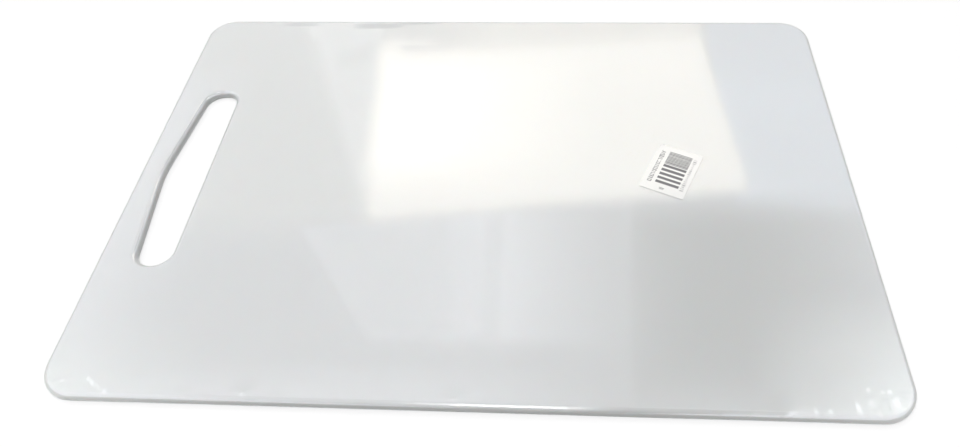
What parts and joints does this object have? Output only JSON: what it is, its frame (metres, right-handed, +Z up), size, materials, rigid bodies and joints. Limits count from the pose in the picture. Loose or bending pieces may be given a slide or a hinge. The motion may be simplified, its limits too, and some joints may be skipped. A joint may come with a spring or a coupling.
{
  "type": "cutting board",
  "caption": "Flat white plastic cutting board with rounded corners and a grip slot along a short side, wrapped in clear shrink film with a small paper label.",
  "frame": {"origin": "middle of the wrapped board's underside", "axes": "+X along the board's length, away from the grip slot; +Y across the board; +Z up out of the working face"},
  "size_m": [0.3956, 0.2804, 0.0066],
  "materials": {
    "white_plastic": "satin",
    "clear_film": "polished",
    "label_paper": "matte",
    "label_ink": "matte"
  },
  "bodies": {
    "root": {"board": "white_plastic", "film_upper_web": "clear_film", "film_lower_web": "clear_film", "paper_label": "label_paper"}
  },
  "joints": []
}
